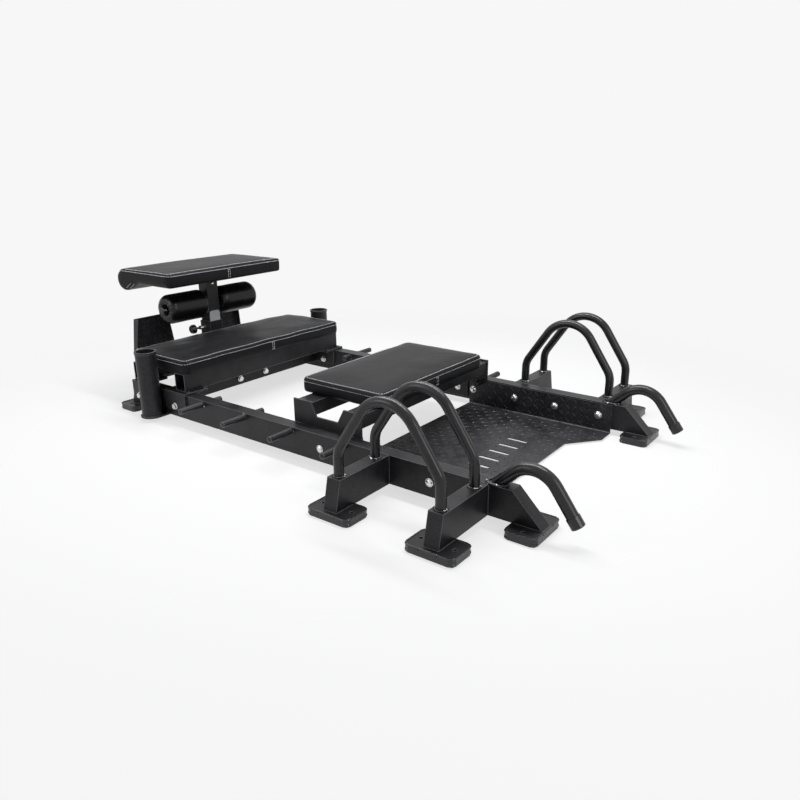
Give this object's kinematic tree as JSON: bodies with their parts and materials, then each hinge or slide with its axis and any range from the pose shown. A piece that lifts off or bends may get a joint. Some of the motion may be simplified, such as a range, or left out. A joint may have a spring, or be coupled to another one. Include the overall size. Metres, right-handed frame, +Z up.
{
  "type": "glute machine",
  "caption": "Low glute machine: steel side rails with a tread plate tray, grip hoops, a kneeling pad, a front pad, and a sliding post with foam rollers and a top pad.",
  "frame": {"origin": "on the floor, midway along and across the machine", "axes": "+X towards the end handles, +Y towards the left side, +Z up from the floor"},
  "size_m": [2.2914, 1.479, 0.5689],
  "materials": {
    "powder_coat": "fine texture black powder coat",
    "zinc": "bright zinc plate",
    "rubber": "satin moulded",
    "plastic": "semi-gloss moulded",
    "vinyl": "grained dark grey with light grey stitching",
    "roller_vinyl": "smooth satin black",
    "plywood": "plain"
  },
  "bodies": {
    "frame": {"crossbeam_bolt_left": "zinc", "crossbeam_bolt_right": "zinc", "end_handle_left": "powder_coat", "end_handle_right": "powder_coat", "front_pad": "vinyl", "front_pad_board": "plywood", "front_pad_front_beam": "powder_coat", "front_pad_rear_beam": "powder_coat", "front_pad_side_plate_left": "powder_coat", "front_pad_side_plate_right": "powder_coat", "front_saddle_left": "powder_coat", "front_saddle_right": "powder_coat", "grip_hoop_inner_left": "powder_coat", "grip_hoop_inner_right": "powder_coat", "grip_hoop_outer_left": "powder_coat", "grip_hoop_outer_right": "powder_coat", "handle_cap_left": "plastic", "handle_cap_right": "plastic", "kneeling_pad": "vinyl", "kneeling_pad_board": "plywood", "kneeling_pad_front_beam": "powder_coat", "kneeling_pad_rear_beam": "powder_coat", "outrigger_front_left": "powder_coat", "outrigger_front_right": "powder_coat", "outrigger_rear_left": "powder_coat", "outrigger_rear_right": "powder_coat", "pop_pin_barrel": "zinc", "pop_pin_spring": "zinc", "post_sleeve": "powder_coat", "rail_crossbeam": "powder_coat", "rear_saddle_left": "powder_coat", "rear_saddle_right": "powder_coat", "rubber_foot_outrigger_front_left": "rubber", "rubber_foot_outrigger_front_right": "rubber", "rubber_foot_outrigger_rear_left": "rubber", "rubber_foot_outrigger_rear_right": "rubber", "rubber_foot_rail_front_left": "rubber", "rubber_foot_rail_front_right": "rubber", "rubber_foot_rail_rear_left": "rubber", "rubber_foot_rail_rear_right": "rubber", "saddle_bolt_left": "zinc", "saddle_bolt_right": "zinc", "side_rail_left": "powder_coat", "side_rail_right": "powder_coat", "spine_beam": "powder_coat", "storage_tube_left": "powder_coat", "storage_tube_right": "powder_coat", "toe_plate_beam": "powder_coat", "toe_plate_left": "powder_coat", "toe_plate_right": "powder_coat", "tread_plate_tray": "powder_coat"},
    "post_unit": {"height_post": "powder_coat", "top_pad": "vinyl", "top_pad_board": "plywood", "roller_axle": "zinc", "axle_cap_left": "plastic", "axle_cap_right": "plastic"},
    "roller_left": {"foam_roller_left": "roller_vinyl"},
    "roller_right": {"foam_roller_right": "roller_vinyl"},
    "pop_pin": {"pop_pin_knob": "plastic"}
  },
  "joints": [
    {"name": "post_slide", "type": "slide", "parent": "frame", "child": "post_unit", "axis": [0, 0, 1], "range_m": [0, 0.12]},
    {"name": "pop_pin_slide", "type": "slide", "parent": "frame", "child": "pop_pin", "axis": [0, -1, 0], "range_m": [-0.012, 0]},
    {"name": "roller_left_spin", "type": "hinge", "parent": "post_unit", "child": "roller_left", "pos_m": [-0.9217, 0, 0.388], "axis": [0, 1, 0], "continuous": true},
    {"name": "roller_right_spin", "type": "hinge", "parent": "post_unit", "child": "roller_right", "pos_m": [-0.9217, 0, 0.388], "axis": [0, 1, 0], "continuous": true}
  ]
}
